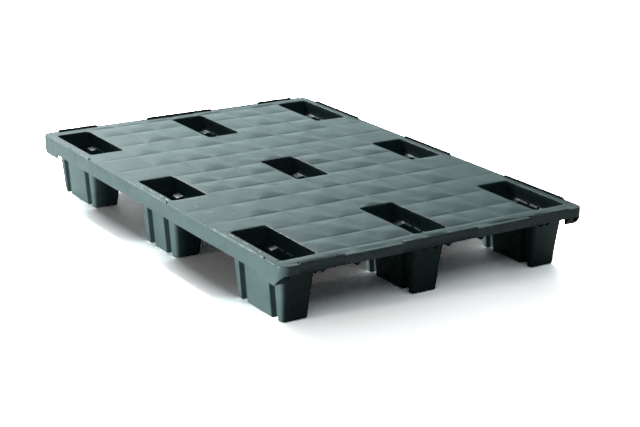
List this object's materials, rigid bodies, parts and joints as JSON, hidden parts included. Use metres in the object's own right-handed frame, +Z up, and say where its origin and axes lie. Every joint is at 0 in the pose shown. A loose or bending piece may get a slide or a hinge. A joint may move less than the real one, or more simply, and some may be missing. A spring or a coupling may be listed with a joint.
{
  "type": "nestable plastic pallet",
  "caption": "Low nestable pallet moulded in one piece: flat closed deck with edge rims, skirt, ribs below and hollow fluted feet that are open from above.",
  "frame": {"origin": "centre of the base, on the surface that the feet stand on", "axes": "+Z up, +Y along the long side, +X along the short side"},
  "size_m": [0.8, 1.2, 0.15],
  "materials": {
    "pallet_plastic": "dark green-grey polyethylene, satin as moulded, with faint flow marks"
  },
  "bodies": {
    "root": {"pallet": "pallet_plastic"}
  },
  "joints": []
}
